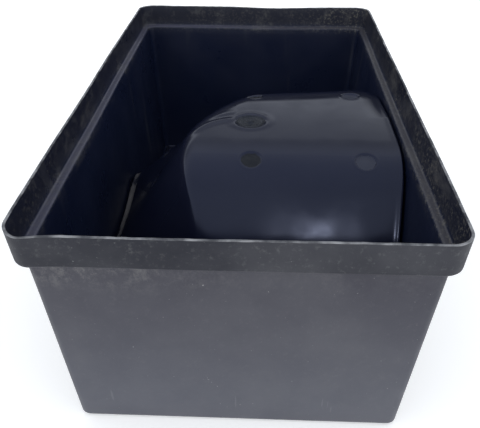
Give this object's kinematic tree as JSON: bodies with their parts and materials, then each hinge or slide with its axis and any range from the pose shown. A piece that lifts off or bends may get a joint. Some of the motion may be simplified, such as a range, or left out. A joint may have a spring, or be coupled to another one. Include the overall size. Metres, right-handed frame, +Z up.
{
  "type": "plug tray",
  "caption": "Deep rectangular moulded nursery tub with a stepped collar and inside ledge, holding a loose flexible plate sprung into an arch.",
  "frame": {"origin": "middle of the underside of the tub", "axes": "+Z up, +Y along the length of the tub, +X across it"},
  "size_m": [0.305, 0.535, 0.201],
  "materials": {
    "tub_plastic": "worn semi-matt black",
    "plate_plastic": "smooth glossy black"
  },
  "bodies": {
    "tub": {"tub": "tub_plastic"},
    "insert_plate": {"insert_plate": "plate_plastic"}
  },
  "joints": [
    {"name": "plate_lift", "type": "slide", "parent": "tub", "child": "insert_plate", "axis": [0, 0, 1], "range_m": [0, 0.21]}
  ]
}
